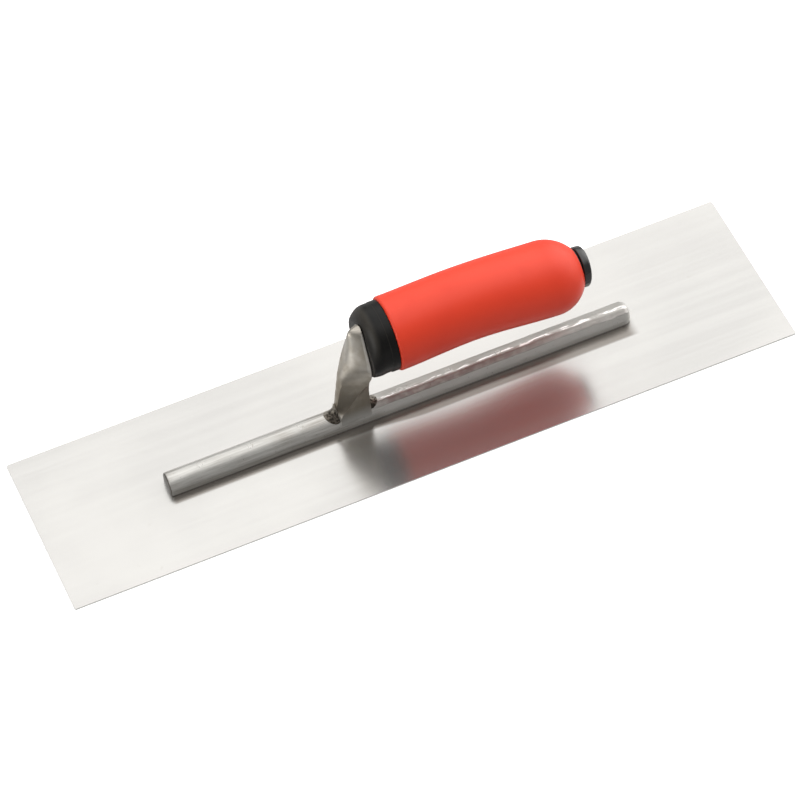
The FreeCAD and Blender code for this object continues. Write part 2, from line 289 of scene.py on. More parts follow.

# %% [markdown]
# ## Blade steel
# All the steel that shows is bare. A metal's colour tints its reflections, so small
# changes of base colour and roughness are enough to read as stain and wear. The blade
# is satin: rolled smooth, with fine lines along its length that blur what it mirrors.
# A painted shade lies on the blade along the near foot of the rib: the rib's dark reflection and contact
# shadow.
# The edges get a painted light, a pale colour that keeps them from reading as a dark line. Noise makes all
# of it, so no seams show and no file is loaded.

# %% Blade steel
# The painted shade, in mm from the bar's centre line: where it starts to fade, where it is
# gone, and how much further out it reaches behind the neck.
SHADE_FADES, SHADE_GONE, SHADE_WIDENS = 10.4, 12.4, 2.8
SHADE_SHARE = 0.84


def painted_rib_shade(tree):
    """Painted shade on the blade along the near foot of the rib: its dark reflection and contact shadow."""
    aside = times(tree, place(tree, "Y"), -1.0)
    widened = zone(tree, "X", -25.0, 10.0, 0.0, SHADE_WIDENS * MM)
    outer = remap(tree, math_node(tree, "SUBTRACT", aside, widened),
                  SHADE_FADES * MM, SHADE_GONE * MM, SHADE_SHARE, 0.0)
    shade_band = times(tree, outer, remap(tree, aside, 0.0, 6.0 * MM))
    rear_end = zone(tree, "X", 124.0, 131.0, 1.0, 0.0)
    front_end = zone(tree, "X", -134.0, -131.0)
    back_face = facing(tree, "Z", 0.5, 0.9)
    return times(tree, shade_band, back_face, times(tree, rear_end, front_end))


def make_blade_steel():
    finish, tree, shader = new_finish("satin blade steel")
    along = grain(tree, (6.0, 700.0, 700.0), 2.0)
    streaks = grain(tree, (3.0, 160.0, 160.0), 5.0)
    marks = stains(tree, 9.0, 0.5, 0.2)
    spots = stains(tree, 210.0, 0.27, 0.03)
    clean = blend(tree, marks, (0.535, 0.525, 0.508, 1), (0.47, 0.463, 0.45, 1))
    lined = blend(tree, times(tree, remap(tree, streaks, 0.35, 0.7), 0.35), clean, (0.55, 0.542, 0.525, 1))
    spotted = blend(tree, times(tree, spots, 0.25), lined, (0.40, 0.375, 0.34, 1))
    # Painted shade along the rib's near foot.
    rib_shaded = blend(tree, painted_rib_shade(tree), spotted, (0.19, 0.17, 0.15, 1))
    # Painted light: the upright edge faces get a pale, less metallic colour, so they don't read as a dark
    # line.
    upright = math_node(tree, "ABSOLUTE", surface_normal(tree, "Z"))
    painted_edge_light = remap(tree, upright, 0.4, 0.8, 1.0, 0.0)
    edged = blend(tree, painted_edge_light, rib_shaded, (0.86, 0.85, 0.83, 1))
    tree.links.new(remap(tree, painted_edge_light, 0.0, 1.0, 0.87, 0.25), shader.inputs["Metallic"])
    rough = remap(tree, math_node(tree, "ADD", along, marks), 0.3, 1.5, 0.18, 0.23)
    plug(tree, shader, edged, rough, along, 0.003)
    return finish


BLADE_STEEL = make_blade_steel()
print("made", BLADE_STEEL.name)

# %% [markdown]
# ## Rib steel
# The rib carries two finishes in one. In front of the neck it is nearly as rolled: dull
# grey, with long streaks. Behind the neck it was dressed with a grinder. Its near side
# gets a painted light, faint in front of the neck and strong behind it. Behind the neck
# its top gets a painted shade, the flat beside the top a blotchy brown painted reflection
# of the handle, and one ridge a painted highlight that shows as a broken line. Two
# materials would need a cut in the mesh, so a single mask along the bar blends one
# finish into the other.

# %% Rib steel
# The painted ridge highlight: how far it lies to the near side of the centre, and how far it wanders.
RIDGE_ASIDE, RIDGE_WANDER = 0.9 * MM, 0.7 * MM
# Strength of the painted reflection of the handle on the rib.
REFLECTION_SHARE = 0.85


def painted_handle_reflection(tree, dressed):
    """Painted reflection of the handle's dark underside: blotchy brown on the flat that leans to the near
    side, fading towards the rear.
    """
    slope = times(tree, facing(tree, "Z", 0.5, 0.66), facing(tree, "Y", -0.42, -0.24, 1.0, 0.0))
    fading = zone(tree, "X", 35.0, 100.0, REFLECTION_SHARE, REFLECTION_SHARE / 3)
    handle_reflected = times(tree, slope, times(tree, dressed, fading))
    return times(tree, handle_reflected, remap(tree, stains(tree, 260.0, 0.55, 0.2), 0.0, 1.0, 0.45, 1.0))


def painted_ridge_highlight(tree, dressed):
    """A painted highlight: a bright broken line that wanders a little on the near side of the top."""
    wander = remap(tree, grain(tree, (90.0, 300.0, 300.0), 3.0, 1.5), 0.2, 0.8,
                   RIDGE_ASIDE - RIDGE_WANDER, RIDGE_ASIDE + RIDGE_WANDER)
    ridge = math_node(tree, "ABSOLUTE", math_node(tree, "ADD", place(tree, "Y"), wander))
    dashes = remap(tree, grain(tree, (160.0, 900.0, 900.0), 5.0, 2.0), 0.42, 0.62)
    return times(tree, remap(tree, ridge, 0.2 * MM, 1.0 * MM, 0.95, 0.0), times(tree, dashes, dressed))


def make_rib_steel():
    finish, tree, shader = new_finish("hand ground rib steel", Metallic=0.6)
    slant = grain(tree, (900.0, 260.0, 260.0), 3.0)
    coarse = grain(tree, (60.0, 300.0, 300.0), 4.0)
    patina = stains(tree, 55.0, 0.45, 0.16)
    pits = stains(tree, 900.0, 0.3, 0.03)
    base = blend(tree, patina, (0.47, 0.46, 0.435, 1), (0.38, 0.36, 0.33, 1))
    streak = remap(tree, grain(tree, (45.0, 900.0, 900.0), 4.0, 1.6), 0.3, 0.75, 0.0, 0.7)
    streaked = blend(tree, streak, base, (0.62, 0.61, 0.585, 1))
    dressed = zone(tree, "X", -20.0, -8.0)
    # Painted shade: the top is darker where it faces up, behind the neck.
    crown = facing(tree, "Z", 0.8, 0.97, 0.0, 0.6)
    top_shaded = blend(tree, times(tree, crown, dressed), streaked, (0.3, 0.29, 0.27, 1))
    # Painted reflection of the handle on the flat beside the top.
    with_reflection = blend(tree, painted_handle_reflection(tree, dressed), top_shaded, (0.26, 0.215, 0.2, 1))
    # Painted light: the near side is brighter, faintly in front of the neck and strongly behind it.
    painted_side_light = times(tree, facing(tree, "Y", -0.97, -0.8, 1.0, 0.0),
                      remap(tree, dressed, 0.0, 1.0, 0.12, 0.9))
    side_lit = blend(tree, painted_side_light, with_reflection, (0.72, 0.71, 0.68, 1))
    # worn holds the painted ridge highlight together with real edge wear.
    worn = math_node(tree, "MAXIMUM", painted_ridge_highlight(tree, dressed), edge_wear(tree, 0.508, 0.55, 0.5))
    bright = blend(tree, worn, side_lit, (0.97, 0.96, 0.94, 1))
    pitted = blend(tree, times(tree, pits, 0.7), bright, (0.14, 0.125, 0.105, 1))
    # Darker in the lowest millimetre next to the blade, and on the sawn front face.
    joint = zone(tree, "Z", 0.9, 1.9, 0.7, 0.0)
    sawn = zone(tree, "X", -132.35, -131.9, 0.95, 0.0)
    darker_joint_and_end = blend(tree, math_node(tree, "MAXIMUM", joint, sawn), pitted, (0.06, 0.052, 0.042, 1))
    rough = math_node(tree, "ADD", remap(tree, coarse, 0.3, 0.7, 0.3, 0.42), times(tree, dressed, 0.05))
    lumpy = times(tree, grain(tree, (420.0, 700.0, 700.0), 4.0, 2.2),
                  remap(tree, dressed, 0.0, 1.0, 0.0, 2.0))
    scratched = math_node(tree, "SUBTRACT", math_node(tree, "ADD", slant, coarse), pits)
    plug(tree, shader, darker_joint_and_end, rough, math_node(tree, "ADD", scratched, lumpy), 0.03)
    return finish


RIB_STEEL = make_rib_steel()
print("made", RIB_STEEL.name)

# %% [markdown]
# ## Forged neck steel
# The neck kept a warm brown cast from the forge, strongest low down, where it was
# heated most. The slanting hammer marks low down, the rounded top and the flanks get
# painted shade, so they are darker than the face, and the foot was ground bright again
# round the welds. Each of these is a mask by height or direction, laid over the one before it.

# %% Forged neck steel
def make_neck_steel():
    finish, tree, shader = new_finish("forged neck steel", Metallic=0.9)
    belt = grain(tree, (420.0, 420.0, 70.0), 4.0)
    brown = stains(tree, 95.0, 0.5, 0.14)
    light = stains(tree, 110.0, 0.42, 0.1)
    base = blend(tree, brown, (0.69, 0.655, 0.595, 1), (0.51, 0.46, 0.385, 1))
    rubbed = blend(tree, times(tree, light, 0.6), base, (0.74, 0.71, 0.66, 1))
    heat = zone(tree, "Z", 16.0, 54.0, 0.9, 0.0)
    flame = times(tree, heat, remap(tree, belt, 0.2, 0.7, 0.75, 1.0))
    tinted = blend(tree, flame, rubbed, (0.30, 0.262, 0.21, 1))
    # Painted shade on the slanting hammer facets low on the neck.
    painted_facet_shade = times(tree, facing(tree, "X", -0.88, -0.7), facing(tree, "X", -0.34, -0.2, 1.0, 0.0))
    low = zone(tree, "Z", 14.0, 34.0, 0.8, 0.0)
    facet_shaded = blend(tree, times(tree, painted_facet_shade, low), tinted, (0.085, 0.068, 0.048, 1))
    # Painted shade on the upward-facing top of the leaf, which hides its highlight.
    rounded = times(tree, facing(tree, "Z", 0.4, 0.75, 0.0, 0.75), zone(tree, "Z", 58.0, 65.0))
    tip_shaded = blend(tree, rounded, facet_shaded, (0.34, 0.32, 0.29, 1))
    # Painted shade on the flanks, which face to the sides.
    side = math_node(tree, "ABSOLUTE", surface_normal(tree, "Y"))
    shaded = blend(tree, remap(tree, side, 0.55, 0.9, 0.0, 0.55), tip_shaded, (0.24, 0.215, 0.18, 1))
    foot = zone(tree, "Z", 6.5, 15.0, 1.0, 0.0)
    ground = blend(tree, foot, shaded, (0.52, 0.51, 0.485, 1))
    worn = blend(tree, edge_wear(tree, 0.515, 0.57, 0.6), ground, (0.6, 0.58, 0.54, 1))
    rough = remap(tree, math_node(tree, "ADD", belt, brown), 0.5, 1.4, 0.3, 0.46)
    plug(tree, shader, worn, rough, belt, 0.03)
    return finish


NECK_STEEL = make_neck_steel()
print("made", NECK_STEEL.name)

# %% [markdown]
# ## Weld scale, rivet steel and zinc
# The weld is steel with a pitted crust, black with soot at the toe and at the heel,
# where the torch stopped. The rivets' ends are the rib's steel with finer scratches.
# The nut and washer inside the handle are zinc plated, which is bluer and cloudy.

# %% Weld scale
FRONT_SOOT, REAR_SOOT = (-40.5, -4.0, 9.5), (-19.0, -3.5, 9.5)
SOOT_FAR, SOOT_CLOSE = 8.0, 3.5


def make_weld_scale():
    finish, tree, shader = new_finish("burnt weld scale", Metallic=0.9)
    crust = grain(tree, (700.0, 700.0, 700.0), 6.0, 1.4)
    pits = stains(tree, 900.0, 0.5, 0.12)
    soot = math_node(tree, "MAXIMUM", *(closeness(tree, spot, SOOT_FAR, SOOT_CLOSE)
                                        for spot in (FRONT_SOOT, REAR_SOOT)))
    speckle = times(tree, pits, math_node(tree, "ADD", soot, 0.25))
    steel = blend(tree, soot, (0.42, 0.39, 0.345, 1), (0.16, 0.14, 0.115, 1))
    colour = blend(tree, speckle, steel, (0.05, 0.043, 0.035, 1))
    plug(tree, shader, colour, remap(tree, crust, 0.3, 0.7, 0.36, 0.7), crust, 0.08)
    return finish


WELD_SCALE = make_weld_scale()
print("made", WELD_SCALE.name)


# %% Rivet steel and zinc plate
def make_rivet_steel():
    finish, tree, shader = new_finish("rivet steel", Metallic=0.7)
    scratch = grain(tree, (1500.0, 240.0, 240.0), 3.0)
    tarnish = stains(tree, 500.0, 0.4, 0.08)
    colour = blend(tree, tarnish, (0.5, 0.49, 0.465, 1), (0.38, 0.365, 0.335, 1))
    plug(tree, shader, colour, remap(tree, scratch, 0.3, 0.7, 0.24, 0.4), scratch, 0.01)
    return finish


def make_zinc_plate():
    finish, tree, shader = new_finish("zinc plate", Metallic=1.0)
    cloud = stains(tree, 300.0, 0.5, 0.2)
    fine = grain(tree, (1200.0, 1200.0, 1200.0), 2.0)
    colour = blend(tree, cloud, (0.62, 0.64, 0.66, 1), (0.52, 0.54, 0.57, 1))
    plug(tree, shader, colour, remap(tree, fine, 0.3, 0.7, 0.25, 0.38), fine, 0.005)
    return finish


RIVET_STEEL, ZINC_PLATE = make_rivet_steel(), make_zinc_plate()
print("small steel finishes:", RIVET_STEEL.name, ZINC_PLATE.name)

# %% [markdown]
# ## Rubber and plastic finishes
# The sleeve is a soft moulded rubber with a very fine pebble, which spreads light so
# widely that no sharp highlight shows. It is darker where dust and hand oil settle.
# The collar is hard black plastic with the same kind of texture, and the top of its nose
# gets a painted highlight where it faces up and forward. The cap is polished, so it keeps
# a low roughness and shows small, hard reflections and a few scratches.

# %% Rubber and collar
def make_orange_rubber():
    finish, tree, shader = new_finish("orange moulded rubber", Specular_IOR_Level=0.38)
    pebble = grain(tree, (2600.0, 2600.0, 2600.0), 2.0)
    grime = stains(tree, 42.0, 0.42, 0.2)
    scuffs = stains(tree, 330.0, 0.3, 0.05)
    base = blend(tree, grime, (0.80, 0.052, 0.019, 1), (0.755, 0.045, 0.017, 1))
    rubbed = blend(tree, times(tree, scuffs, 0.1), base, (0.88, 0.13, 0.08, 1))
    rough = remap(tree, math_node(tree, "ADD", pebble, grime), 0.4, 1.6, 0.4, 0.5)
    plug(tree, shader, rubbed, rough, pebble, 0.012)
    return finish


def make_black_collar():
    finish, tree, shader = new_finish("black collar plastic", Specular_IOR_Level=0.2)
    pebble = grain(tree, (2200.0, 2200.0, 2200.0), 3.0)
    dust = stains(tree, 130.0, 0.45, 0.2)
    base = blend(tree, dust, (0.0035, 0.0032, 0.003, 1), (0.0068, 0.0062, 0.0056, 1))
    # Painted highlight, paler where the nose faces up and forward.
    painted_nose_highlight = times(tree, facing(tree, "Z", 0.1, 0.9, 0.0, 0.8), facing(tree, "X", -0.1, -0.6))
    nose_highlighted = blend(tree, painted_nose_highlight, base, (0.05, 0.045, 0.038, 1))
    worn = blend(tree, edge_wear(tree, 0.56, 0.66, 0.6), nose_highlighted, (0.02, 0.019, 0.018, 1))
    plug(tree, shader, worn, remap(tree, pebble, 0.3, 0.7, 0.3, 0.42), pebble, 0.01)
    return finish


ORANGE_RUBBER, BLACK_COLLAR = make_orange_rubber(), make_black_collar()
print("moulded finishes:", ORANGE_RUBBER.name, BLACK_COLLAR.name)


# %% Cap and core
def make_gloss_cap():
    finish, tree, shader = new_finish("gloss cap plastic", Coat_Weight=0.6, Coat_Roughness=0.06)
    scratch = grain(tree, (300.0, 2400.0, 900.0), 3.0)
    dust = stains(tree, 500.0, 0.36, 0.1)
    colour = blend(tree, dust, (0.006, 0.005, 0.005, 1), (0.02, 0.016, 0.015, 1))
    plug(tree, shader, colour, remap(tree, scratch, 0.35, 0.75, 0.12, 0.26), scratch, 0.003)
    return finish


def make_core_plastic():
    finish, tree, shader = new_finish("hard core plastic")
    swirl = grain(tree, (60.0, 400.0, 400.0), 4.0)
    colour = blend(tree, remap(tree, swirl, 0.3, 0.7), (0.012, 0.012, 0.013, 1), (0.02, 0.02, 0.021, 1))
    plug(tree, shader, colour, remap(tree, swirl, 0.3, 0.7, 0.35, 0.5), swirl, 0.01)
    return finish


GLOSS_CAP, CORE_PLASTIC = make_gloss_cap(), make_core_plastic()
print("hard plastics:", GLOSS_CAP.name, CORE_PLASTIC.name)

# %% [markdown]
# ## Skinning rings of points
# Most pieces here are long and round-ish, so they are built like a ship's hull: rings
# of points set one behind the other, with a skin of four-sided faces between them and
# a fan of triangles at each end. Blender could also loft curves, but plain rings let
# each point be nudged by a formula, which is how lumps and flats get in. Corners
# sharper than a set angle stay crisp, and the rest is shaded smooth.

# %% Skin
SHARP_ANGLE = math.radians(38)


def skin(name, rings, finish, sharp=SHARP_ANGLE):
    """A closed mesh over rings of millimetre points, riding on the tool."""
    count = len(rings[0])
    points = [Vector(p) * MM for ring in rings for p in ring]
    faces = []
    for r in range(len(rings) - 1):
        for i in range(count):
            j = (i + 1) % count
            faces.append((r * count + i, r * count + j, (r + 1) * count + j, (r + 1) * count + i))
    for r, order in ((0, -1), (len(rings) - 1, 1)):
        ring = range(r * count, (r + 1) * count)
        points.append(sum((points[i] for i in ring), Vector()) / count)
        hub = len(points) - 1
        for i in range(count):
            edge = (r * count + i, r * count + (i + 1) % count)
            faces.append((*edge[::order], hub))
    mesh = bpy.data.meshes.new(name)
    mesh.from_pydata(points, [], faces)
    mesh.shade_smooth()
    mesh.set_sharp_from_angle(angle=sharp)
    mesh.materials.append(finish)
    piece = bpy.data.objects.new(name, mesh)
    scene.collection.objects.link(piece)
    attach(piece, "root")
    return piece


print("skin ready, with corners sharp above", round(math.degrees(SHARP_ANGLE)), "degrees")

# %% [markdown]
# ## Curves and lumps
# The formulas that place the points need a few tools of their own. `ease` and `mix`
# fade from one value to another, `between` reads a short table as a smooth curve, and
# `lumps` gives the small unevenness of things that were forged, ground or moulded.

# %% Curves and lumps
def ease(share):
    """Goes smoothly from 0 to 1 as share does, and stays at each end."""
    share = min(max(share, 0.0), 1.0)
    return share * share * (3 - 2 * share)


def mix(first, second, share):
    """The value that lies a share of the way from the first to the second."""
    return first + (second - first) * share


def between(table, at):
    """Read rows of (place, value, value...) at any place, on a smooth curve through them."""
    at = min(max(at, table[0][0]), table[-1][0])
    last = len(table) - 1
    i = next(k for k in range(last) if at <= table[k + 1][0])
    near = [table[min(max(k, 0), last)] for k in (i - 1, i, i + 1, i + 2)]
    width = near[2][0] - near[1][0]
    share = (at - near[1][0]) / width
    values = []
    for a, b, c, d in zip(*(row[1:] for row in near)):
        leave = (c - a) / max(near[2][0] - near[0][0], width) * width
        arrive = (d - b) / max(near[3][0] - near[1][0], width) * width
        bend = share * (1 - share)
        values.append(mix(b, c, ease(share)) + bend * (leave * (1 - share) - arrive * share))
    return tuple(values)


def lumps(x, y, z, size, seed=0.0):
    """Smooth hills and hollows between about -1 and 1, size millimetres apart."""
    return noise.noise(Vector((x / size + seed, y / size - seed, z / size + 3 * seed)))


def node_mm(node):
    """The two corners of a CAD node's box, in mm."""
    low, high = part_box(node)
    return low / MM, high / MM


print("halfway along a table:", between([(0, 0.0), (1, 1.0), (2, 0.0)], 0.5))

# %% [markdown]
# ## The blade
# The blade's shape is already right in CAD: a flat sheet with tiny corner rounds and
# nine countersinks. A flat sheet gains nothing from more faces, so its CAD mesh stays
# and only its finish changes. The pieces hidden inside the handle are kept the same way.

# %% Blade and hidden pieces
def refinish(node, finish):
    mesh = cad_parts[node].data
    mesh.materials.clear()
    mesh.materials.append(finish)


refinish("blade", BLADE_STEEL)
refinish("handle_core", CORE_PLASTIC)
refinish("tang_washer", ZINC_PLATE)
refinish("tang_nut", ZINC_PLATE)
print("blade box in mm:", [[round(v, 1) for v in corner] for corner in node_mm("blade")])

# %% [markdown]
# ## The rib
# The rib starts as a rolled bar with a half-round top. Ahead of the neck it was left
# nearly as rolled. Behind the neck someone dressed it with a grinder: three long flats
# wander along the top, and the ridges between them waver and catch the light. The
# front end is sawn square, and the rear end is rounded over. All of this is one
# function that gives the height of the bar at any place along and round it.

# %% Rib shape
RIB_LOW, RIB_HIGH = node_mm("rib")
RIB_HALF = (RIB_HIGH.y - RIB_LOW.y) / 2
RIB_SHOULDER = RIB_HIGH.z - RIB_HALF
NECK_BACK_X = -19.5
REAR_ROUND = 4.4
# How much of the grinding shows, from 0 for a plain half round to 1 for true flats.
FLAT_SHARE = 0.92
# Ridges between the ground flats: degrees up from the near side, and reach.
RIDGES = [(-30, 1.0), (0, 1.0), (42, 1.08), (69, 1.045), (79, 0.995), (127, 0.99), (180, 1.0), (210, 1.0)]
# The ridge just short of the top turns by a few degrees on its way to the rear.
TURNING_RIDGE, RIDGE_TURN = 79, 7


def flat_reach(x, angle):
    """How far the ground flats lie from the bar's centre line."""
    degrees = math.degrees(angle)
    turned = RIDGE_TURN * ease((x - 35) / 40)
    ridges = [(turn + (turned if turn == TURNING_RIDGE else 0), reach) for turn, reach in RIDGES]
    low, high = next((a, b) for a, b in zip(ridges, ridges[1:]) if degrees <= b[0])
    span, past = math.radians(high[0] - low[0]), math.radians(degrees - low[0])
    return low[1] * high[1] * math.sin(span) / (low[1] * math.sin(past) + high[1] * math.sin(span - past))


def rib_radius(x, angle):
    """Distance from the bar's centre line to its top, at an angle up from the near side."""
    ground = ease((x - NECK_BACK_X) / 9)
    waver = lumps(x, 0, 0, 9.0, 1.7) * 0.1 + lumps(x, 0, 0, 31.0, 4.2) * 0.1
    flat = flat_reach(x, angle + waver * math.sin(angle) ** 2)
    dress = lumps(x, angle * RIB_HALF, 0, 4.0, 7.0) * 0.07 + lumps(x, angle * RIB_HALF, 0, 12.0, 2.0) * 0.08
    smooth = 1 + lumps(x, angle * RIB_HALF, 0, 26.0, 9.0) * 0.012
    return RIB_HALF * mix(smooth, mix(smooth, flat, FLAT_SHARE), ground) + dress * mix(0.25, 1.0, ground)


def rib_point(x, angle, shrink=0.0):
    reach = rib_radius(x, angle) - shrink
    return (x, -reach * math.cos(angle), RIB_SHOULDER + reach * math.sin(angle))


def rib_ring(x, shrink):
    """Near foot, near side, the arched top, far side, far foot."""
    sides = [RIB_LOW.z + (RIB_SHOULDER - RIB_LOW.z) * i / 4 for i in range(4)]
    arch = [rib_point(x, math.pi * i / 40, shrink) for i in range(41)]
    near = [(x, mix(-RIB_HALF + shrink, arch[0][1], i / 4), z) for i, z in enumerate(sides)]
    far = [(x, mix(RIB_HALF - shrink, arch[-1][1], i / 4), z) for i, z in enumerate(sides)]
    return near + arch + far[::-1]


def rib_stations():
    """Places along the bar, and how far its skin draws in near the two ends."""
    stations = [(RIB_LOW.x, 0.75), (RIB_LOW.x + 0.22, 0.32), (RIB_LOW.x + 0.75, 0.0)]
    first, last = RIB_LOW.x + 1.5, RIB_HIGH.x - REAR_ROUND
    stations += [(mix(first, last, i / 300), 0.0) for i in range(301)]
    for i in range(1, 9):
        turn = math.radians(84) * i / 8
        stations.append((last + REAR_ROUND * math.sin(turn), REAR_ROUND * (1 - math.cos(turn))))
    return stations


print("rib half width", round(RIB_HALF, 2), "mm, shoulder at height", round(RIB_SHOULDER, 2), "mm")

# %% Rib mesh
rib = skin("rib_bar", [rib_ring(x, shrink) for x, shrink in rib_stations()], RIB_STEEL)
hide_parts("rib")
print("rib length in mm:", round(RIB_HIGH.x - RIB_LOW.x, 1), "faces:", len(rib.data.polygons))

# %% [markdown]
# ## The rivets
# Each rivet has a countersunk head, flush with the blade's working face, and a plain
# shank through the rib. Its tail was peened and ground off with the bar, so all that
# shows is a faint disc in the steel. The disc follows the same rib function, a hair
# proud, with a shallow dish that leaves a thin rim to catch the light. Two of them
# were ground less, and keep a deeper, darker dish.

# %% Rivets
RIVET_COUNT = 9
RIVET_RADIUS = 2.0
RIVET_MARGIN = 18.8
RIVET_PROUD = 0.012
PITTED_RIVETS, PIT_DISH, PLAIN_DISH = (7, 8), 0.3, 0.02
BLADE_TOP = node_mm("blade")[1].z
HEAD_RADIUS = RIVET_RADIUS + BLADE_TOP


def rivet_top(x, y):
    """Height of the dressed bar above a point on its centre stretch."""
    angle = math.acos(max(-1.0, min(1.0, -y / RIB_HALF)))
    reach = rib_radius(x, angle)
    return RIB_SHOULDER + math.sqrt(max(reach * reach - y * y, 0.0))


def rivet_rings(x, dish):
    """From the head's flat end, up the shank, to the dished disc on the bar."""
    def circle(radius, height=None, lift=0.0):
        ring = []
        for i in range(28):
            turn = math.tau * i / 28
            px, py = x + radius * math.cos(turn), radius * math.sin(turn)
            ring.append((px, py, rivet_top(px, py) + lift if height is None else height))
        return ring
    rings = [circle(0.6, 0.0), circle(HEAD_RADIUS - 0.05, 0.0), circle(HEAD_RADIUS, 0.03)]
    rings += [circle(RIVET_RADIUS, BLADE_TOP), circle(RIVET_RADIUS, RIB_SHOULDER)]
    rings += [circle(RIVET_RADIUS, None, -0.05), circle(RIVET_RADIUS - 0.12, None, RIVET_PROUD)]
    rings += [circle(RIVET_RADIUS - 0.35, None, RIVET_PROUD), circle(1.3, None, RIVET_PROUD - dish / 3)]
    rings += [circle(0.9, None, RIVET_PROUD - dish), circle(0.4, None, RIVET_PROUD - dish)]
    return rings


rivets = []
span = RIB_HIGH.x - RIB_LOW.x - 2 * RIVET_MARGIN
for i in range(RIVET_COUNT):
    x = RIB_LOW.x + RIVET_MARGIN + span * i / (RIVET_COUNT - 1)
    dish = PIT_DISH if i in PITTED_RIVETS else PLAIN_DISH
    rivets.append(skin(f"rivet_{i + 1}", rivet_rings(x, dish), RIVET_STEEL))
for rivet in rivets:
    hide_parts("blade_rivets")
print("rivets:", len(rivets), "spaced", round(span / (RIVET_COUNT - 1), 2), "mm")

# %% [markdown]
# ## The handle's line
# The handle arches like a camel's back. Its section centres follow two half waves that
# meet at the highest point. The sleeve, the collar and the cap all hang on this line.

# %% Handle line
SLEEVE_LOW, SLEEVE_HIGH = node_mm("grip_sleeve")
COLLAR_LOW, COLLAR_HIGH = node_mm("nose_collar")
CAP_LOW, CAP_HIGH = node_mm("end_cap")
COLLAR_RADIUS = (COLLAR_HIGH.y - COLLAR_LOW.y) / 2
COLLAR_HEIGHT = COLLAR_LOW.z + COLLAR_RADIUS
APEX_X, APEX_HEIGHT, REAR_DROP = 34.0, 59.1, 5.2
SLEEVE_FRONT_X, SLEEVE_REAR_X = SLEEVE_LOW.x, SLEEVE_HIGH.x


def half_wave(share):
    """Rises from 0 to 1 like half a cosine wave."""
    share = min(max(share, 0.0), 1.0)
    return (1 - math.cos(math.pi * share)) / 2


def line_height(x):
    """Height of the handle's centre line."""
    if x < APEX_X:
        drop, run = APEX_HEIGHT - COLLAR_HEIGHT, APEX_X - SLEEVE_FRONT_X
    else:
        drop, run = REAR_DROP, SLEEVE_REAR_X - APEX_X
    return APEX_HEIGHT - drop * half_wave(abs(x - APEX_X) / run)


def round_ring(x, radius, height, count=112):
    turns = [math.tau * i / count for i in range(count)]
    return [(x, -radius * math.cos(t), height + radius * math.sin(t)) for t in turns]


print("collar radius", round(COLLAR_RADIUS, 2), "mm at height", round(COLLAR_HEIGHT, 2), "mm")

# %% [markdown]
# ## The soft grip
# The sleeve is moulded over the hard core. Its front lip rolls over and stands a little
# proud of the collar, its waist is slightly slimmer than its ends, and its butt closes
# as a dome round the cap. Rings along the line follow that profile, close together
# where it bends. A mould leaves a fine seam along each side, half a tenth high.

# %% Soft grip
WAIST_X, WAIST_RADIUS = 37.0, 19.8
BULGE_X, BULGE_RADIUS = 79.0, 20.35
DOME_X, DOME_LENGTH = 84.0, 20.6
LIP_ROUND = 1.5
SEAM_HEIGHT, SEAM_SPREAD = 0.05, 0.02
LUMP_SIZE, LUMP_SHARE = 34.0, 0.0035
TURN_IN = 2.5
FRONT_RADIUS = COLLAR_RADIUS + 1.1


def grip_radius(x):
    if x < WAIST_X:
        return mix(WAIST_RADIUS, FRONT_RADIUS, half_wave((WAIST_X - x) / (WAIST_X - SLEEVE_FRONT_X)))
    return mix(WAIST_RADIUS, BULGE_RADIUS, half_wave((x - WAIST_X) / (BULGE_X - WAIST_X)))


def grip_profile():
    """Places along the handle, with the radius at each: lip, body, dome."""
    profile = [(SLEEVE_FRONT_X, FRONT_RADIUS - LIP_ROUND - TURN_IN)]
    for i in range(9):
        turn = math.radians(90) * i / 8
        lip = LIP_ROUND * (1 - math.sin(turn))
        profile.append((SLEEVE_FRONT_X + LIP_ROUND * (1 - math.cos(turn)), FRONT_RADIUS - lip))
    first = SLEEVE_FRONT_X + LIP_ROUND + 0.8
    profile += [(mix(first, DOME_X, i / 90), grip_radius(mix(first, DOME_X, i / 90))) for i in range(91)]
    last_turn = math.asin((SLEEVE_REAR_X - DOME_X) / DOME_LENGTH)
    for i in range(1, 31):
        turn = last_turn * i / 30
        profile.append((DOME_X + DOME_LENGTH * math.sin(turn), BULGE_RADIUS * math.cos(turn)))
    profile.append((SLEEVE_REAR_X, profile[-1][1] - TURN_IN))
    return profile


def grip_ring(x, radius):
    ring = []
    middle = line_height(x)
    for px, py, pz in round_ring(x, radius, middle):
        rise = abs(pz - middle) / radius
        swell = 1 + SEAM_HEIGHT / radius * math.exp(-(rise / SEAM_SPREAD) ** 2)
        swell += lumps(px, py, pz, LUMP_SIZE, 5.0) * LUMP_SHARE
        ring.append((px, py * swell, middle + (pz - middle) * swell))
    return ring


grip_rings = [grip_ring(x, radius) for x, radius in grip_profile()]
grip = skin("soft_grip", grip_rings, ORANGE_RUBBER, math.radians(60))
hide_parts("grip_sleeve")
print("grip from", round(SLEEVE_FRONT_X, 1), "to", round(SLEEVE_REAR_X, 1), "mm")

# %% [markdown]
# ## The black collar
# The collar joins the grip to the neck. Next to the grip it is a plain band. Ahead of
# that a soft crease starts the nose, which rolls over at the top like a thumb tip but
# keeps a square lower edge. The amount of rolling therefore grows from nothing at the
# bottom of each ring to the most at its top.

# %% Black collar
BAND_FRONT_X = COLLAR_HIGH.x - 4.0
NOSE_ROLL_TOP, NOSE_ROLL_SIDE = 0.5, 0.05
NOSE_SHAPE = 2.3
COLLAR_SINK = 0.2
EDGE_BREAK = 0.3
TAPER_AT_TOP, TAPER_AT_BOTTOM = 0.4, 0.3
